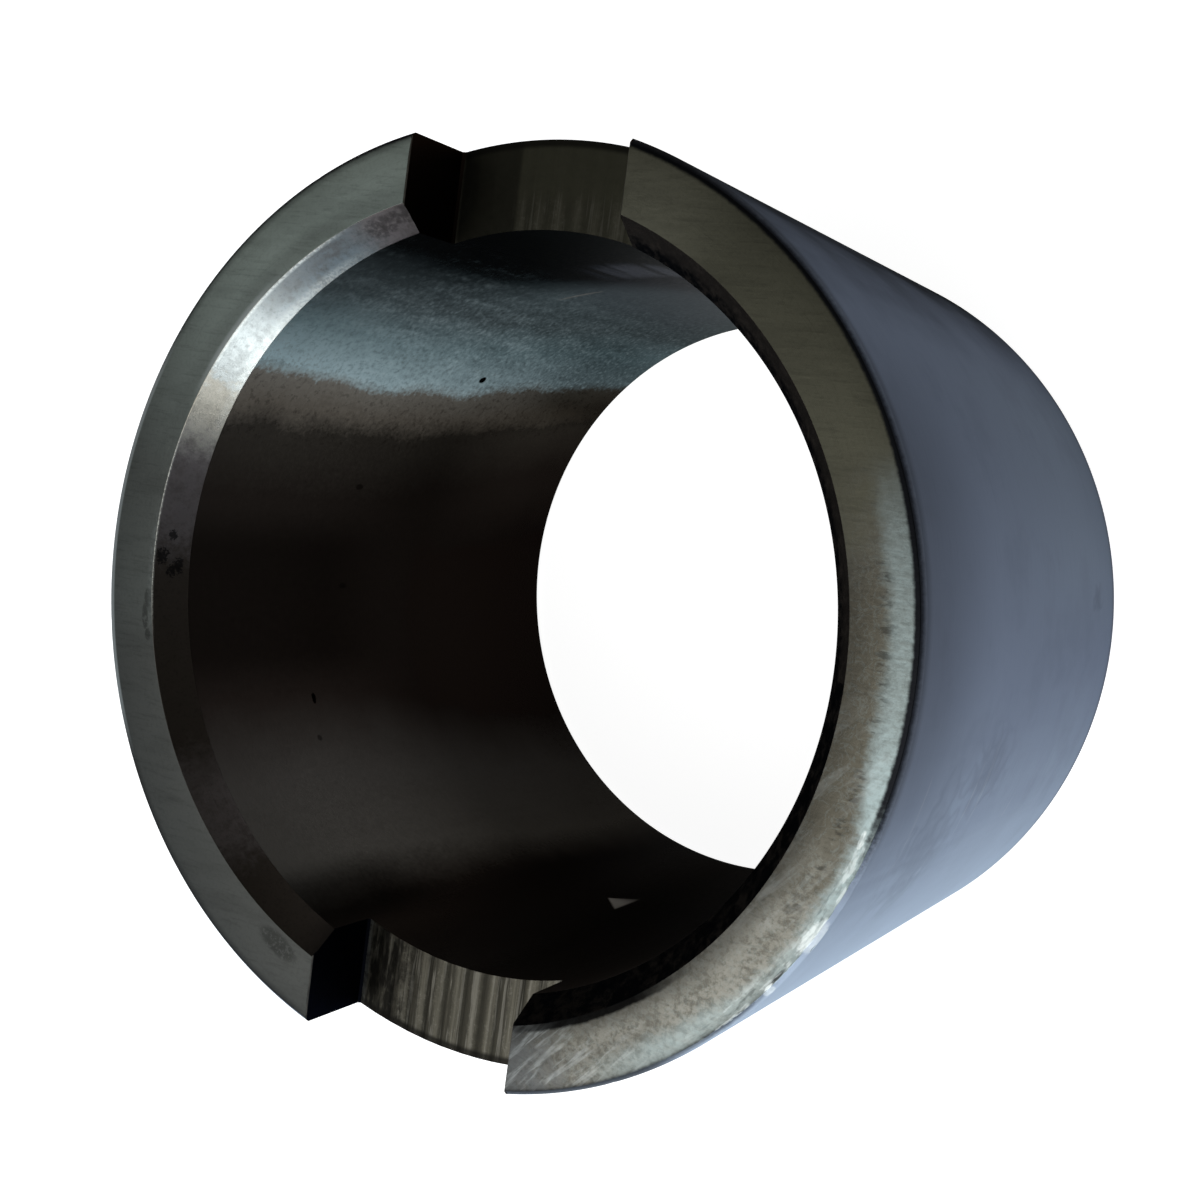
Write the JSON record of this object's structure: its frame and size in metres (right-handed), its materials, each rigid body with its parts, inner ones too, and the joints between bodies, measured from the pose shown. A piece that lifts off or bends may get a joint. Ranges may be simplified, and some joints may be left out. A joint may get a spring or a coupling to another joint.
{
  "type": "shaft sleeve",
  "caption": "Turned steel shaft sleeve: a plain ring with a through bore, a wide lead-in chamfer at one end and a drive slot milled straight across that end.",
  "frame": {"origin": "centre of the plain end face, on the axis of the bore, where the sleeve stands", "axes": "+Z along the bore, out of the slotted end; Y along the drive slot; X across the slot"},
  "size_m": [0.105, 0.105, 0.085],
  "materials": {
    "machined_steel": "turned and milled bare steel, satin, dull grey with light oil staining"
  },
  "bodies": {
    "root": {"shaft_sleeve": "machined_steel"}
  },
  "joints": []
}
